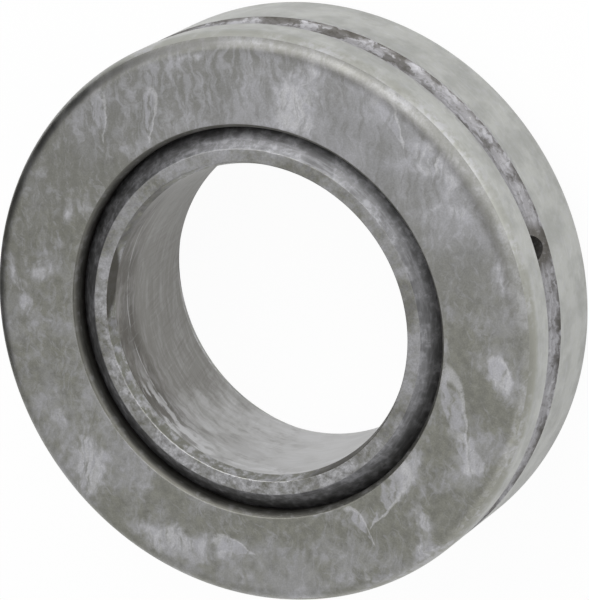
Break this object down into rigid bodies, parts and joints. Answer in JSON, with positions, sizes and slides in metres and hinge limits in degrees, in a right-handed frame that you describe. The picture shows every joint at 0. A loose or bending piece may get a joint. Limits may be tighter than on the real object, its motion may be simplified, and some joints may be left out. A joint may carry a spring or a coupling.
{
  "type": "spherical plain bearing",
  "caption": "Angular contact spherical plain bearing: a ball-shaped inner ring with a plain bore swivels in a grooved socket ring.",
  "frame": {"origin": "on the bearing's axis, in the plane of the inner ring's large face, which it lies on", "axes": "+Z along the axis, from the inner ring's large face to the outer ring's wide face; +X through one of the two oil holes"},
  "size_m": [0.055, 0.055, 0.017],
  "materials": {
    "phosphated_outer": "manganese-phosphated bearing steel, matt grey with dried oil stains",
    "phosphated_inner": "manganese-phosphated bearing steel, ground ball and bore"
  },
  "bodies": {
    "inner": {"inner_ring": "phosphated_inner"},
    "outer": {"outer_ring": "phosphated_outer"}
  },
  "joints": [
    {"name": "ring_swivel", "type": "hinge", "parent": "inner", "child": "outer", "pos_m": [0, 0, -0.00133], "axis": [1, 0, 0], "range_deg": [-3.5, 3.5]}
  ]
}
